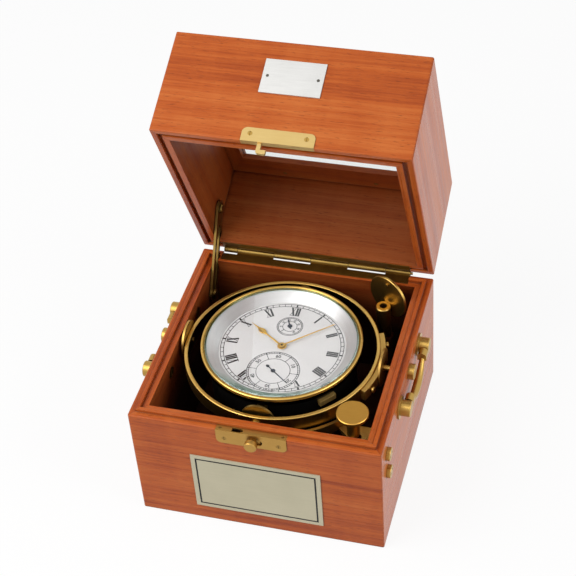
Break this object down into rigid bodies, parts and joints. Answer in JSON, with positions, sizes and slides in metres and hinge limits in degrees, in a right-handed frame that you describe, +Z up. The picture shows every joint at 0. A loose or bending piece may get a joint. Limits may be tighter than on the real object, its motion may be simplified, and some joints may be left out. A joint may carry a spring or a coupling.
{
  "type": "chronometer box",
  "caption": "Wooden box with a hinged glazed lid, folding bail handles and a gimballed marine chronometer with dial, hands, movement, lock and key.",
  "frame": {"origin": "centre of the underside of the box", "axes": "+X to the right of the front, +Y from the front to the hinge, +Z up; the lid is stored open on its stay"},
  "size_m": [0.2034, 0.2665, 0.3052],
  "materials": {
    "mahogany": "polished mahogany",
    "satin_brass": "satin lacquered brass",
    "antique_brass": "darker brushed brass",
    "gilt_hands": "polished gilt",
    "bowl_black": "black lacquer",
    "silver_dial": "silvered matt",
    "silver_flange": "silvered satin",
    "crystal_glass": "polished",
    "window_glass": "polished",
    "blued_steel": "blued",
    "label_metal": "satin",
    "nameplate_metal": "satin"
  },
  "bodies": {
    "base_box": {"base_front_board": "mahogany", "base_back_board": "mahogany", "base_left_board": "mahogany", "base_right_board": "mahogany", "base_floor": "mahogany", "hinge_base_leaf": "antique_brass", "hinge_pin": "antique_brass", "lock_plate": "satin_brass", "lock_screws": "satin_brass", "label_plate": "label_metal", "handle_posts": "satin_brass", "handle_nuts": "satin_brass", "gimbal_pivot_screws": "satin_brass", "stay_stud": "antique_brass", "gimbal_lock_bracket": "satin_brass", "gimbal_lock_nuts": "satin_brass", "key_holder": "mahogany"},
    "lid": {"lid_front_board": "mahogany", "lid_back_board": "mahogany", "lid_left_board": "mahogany", "lid_right_board": "mahogany", "lid_top_rails": "mahogany", "window_glass": "window_glass", "window_frame": "mahogany", "window_frame_screws": "satin_brass", "hinge_lid_leaf": "antique_brass", "catch_plate": "satin_brass", "catch_screws": "satin_brass", "nameplate": "nameplate_metal", "nameplate_screws": "nameplate_metal", "stay_pivot_screw": "antique_brass"},
    "stay": {"lid_stay": "antique_brass"},
    "left_bail": {"left_handle": "satin_brass"},
    "right_bail": {"right_handle": "satin_brass"},
    "latch": {"latch_knob": "satin_brass"},
    "gimbal": {"gimbal_ring": "satin_brass", "ring_saddle": "satin_brass", "saddle_screws": "satin_brass", "ring_pivot_discs": "satin_brass", "bowl_pivot_screws": "satin_brass"},
    "bowl": {"bowl_case": "bowl_black", "bezel": "satin_brass", "crystal": "crystal_glass", "dial_flange": "silver_flange", "dial_plate": "silver_dial", "bowl_pivot_bushes": "satin_brass", "bowl_lock_block": "satin_brass", "pillar_plate": "satin_brass", "movement_top_plate": "satin_brass"},
    "minute_hand": {"minute_hand": "gilt_hands"},
    "hour_hand": {"hour_hand": "gilt_hands"},
    "seconds_hand": {"seconds_hand": "blued_steel"},
    "reserve_hand": {"reserve_hand": "blued_steel"},
    "fusee": {"fusee": "satin_brass"},
    "balance_wheel": {"balance_wheel": "satin_brass"},
    "barrel": {"mainspring_barrel": "satin_brass"},
    "shutter": {"winding_shutter": "satin_brass"},
    "lock_knob": {"gimbal_lock_knob": "satin_brass"},
    "lock_arm": {"gimbal_lock_arm": "satin_brass"},
    "key": {"winding_key": "satin_brass"}
  },
  "joints": [
    {"name": "lid_hinge", "type": "hinge", "parent": "base_box", "child": "lid", "pos_m": [0, 0.0946, 0.10165], "axis": [1, 0, 0], "range_deg": [0, 66.14]},
    {"name": "stay_pivot", "type": "hinge", "parent": "lid", "child": "stay", "pos_m": [-0.079, 0.10071, 0.13814], "axis": [1, 0, 0], "range_deg": [-33, 0]},
    {"name": "left_handle_swing", "type": "hinge", "parent": "base_box", "child": "left_bail", "pos_m": [-0.0983, 0, 0.088], "axis": [0, 1, 0], "range_deg": [0, 100]},
    {"name": "right_handle_swing", "type": "hinge", "parent": "base_box", "child": "right_bail", "pos_m": [0.0983, 0, 0.088], "axis": [0, -1, 0], "range_deg": [0, 100]},
    {"name": "latch_slide", "type": "slide", "parent": "base_box", "child": "latch", "axis": [1, 0, 0], "range_m": [0, 0.0045], "stiffness_N_per_m": 250},
    {"name": "ring_swing", "type": "hinge", "parent": "base_box", "child": "gimbal", "pos_m": [-0.0033, 0, 0.092], "axis": [1, 0, 0], "range_deg": [-30, 30]},
    {"name": "bowl_swing", "type": "hinge", "parent": "gimbal", "child": "bowl", "pos_m": [-0.0033, 0, 0.092], "axis": [0, 1, 0], "range_deg": [-30, 30]},
    {"name": "seconds_turn", "type": "hinge", "parent": "bowl", "child": "seconds_hand", "pos_m": [-0.0033, -0.0255, 0.0972], "axis": [0, 0, -1], "continuous": true},
    {"name": "minute_turn", "type": "hinge", "parent": "bowl", "child": "minute_hand", "pos_m": [-0.0033, 0, 0.0989], "axis": [0, 0, -1], "continuous": true},
    {"name": "hour_turn", "type": "hinge", "parent": "bowl", "child": "hour_hand", "pos_m": [-0.0033, 0, 0.098], "axis": [0, 0, -1], "continuous": true},
    {"name": "fusee_turn", "type": "hinge", "parent": "bowl", "child": "fusee", "pos_m": [0.0157, -0.017, 0.07], "axis": [0, 0, -1], "range_deg": [-1080, 1080]},
    {"name": "barrel_turn", "type": "hinge", "parent": "bowl", "child": "barrel", "pos_m": [-0.0159, 0.012, 0.07], "axis": [0, 0, -1], "range_deg": [-740, 740]},
    {"name": "reserve_turn", "type": "hinge", "parent": "bowl", "child": "reserve_hand", "pos_m": [-0.0033, 0.0225, 0.0972], "axis": [0, 0, -1], "range_deg": [-140, 140]},
    {"name": "balance_swing", "type": "hinge", "parent": "bowl", "child": "balance_wheel", "pos_m": [-0.0073, -0.022, 0.053], "axis": [0, 0, 1], "range_deg": [-225, 225], "stiffness_Nm_per_rad": 0.00014},
    {"name": "shutter_turn", "type": "hinge", "parent": "bowl", "child": "shutter", "pos_m": [0.0037, -0.017, 0.033], "axis": [0, 0, 1], "range_deg": [0, 70], "stiffness_Nm_per_rad": 0.0005},
    {"name": "lock_knob_turn", "type": "hinge", "parent": "base_box", "child": "lock_knob", "pos_m": [0.064, -0.0565, 0.09], "axis": [0, 0, 1], "range_deg": [-120, 0]},
    {"name": "lock_arm_slide", "type": "slide", "parent": "base_box", "child": "lock_arm", "axis": [0.7659, -0.643, 0], "range_m": [-0.0042, 0]},
    {"name": "key_lift", "type": "slide", "parent": "base_box", "child": "key", "axis": [0, 0, 1], "range_m": [0, 0.035]}
  ],
  "couplings": [
    {"joint": "stay_pivot", "follows": "lid_hinge", "ratio": -0.492},
    {"joint": "minute_turn", "follows": "seconds_turn", "ratio": 0.016667},
    {"joint": "hour_turn", "follows": "seconds_turn", "ratio": 0.0013889},
    {"joint": "barrel_turn", "follows": "fusee_turn", "ratio": 0.68},
    {"joint": "reserve_turn", "follows": "fusee_turn", "ratio": 0.12},
    {"joint": "lock_arm_slide", "follows": "lock_knob_turn", "m_per_rad": 0.002}
  ]
}
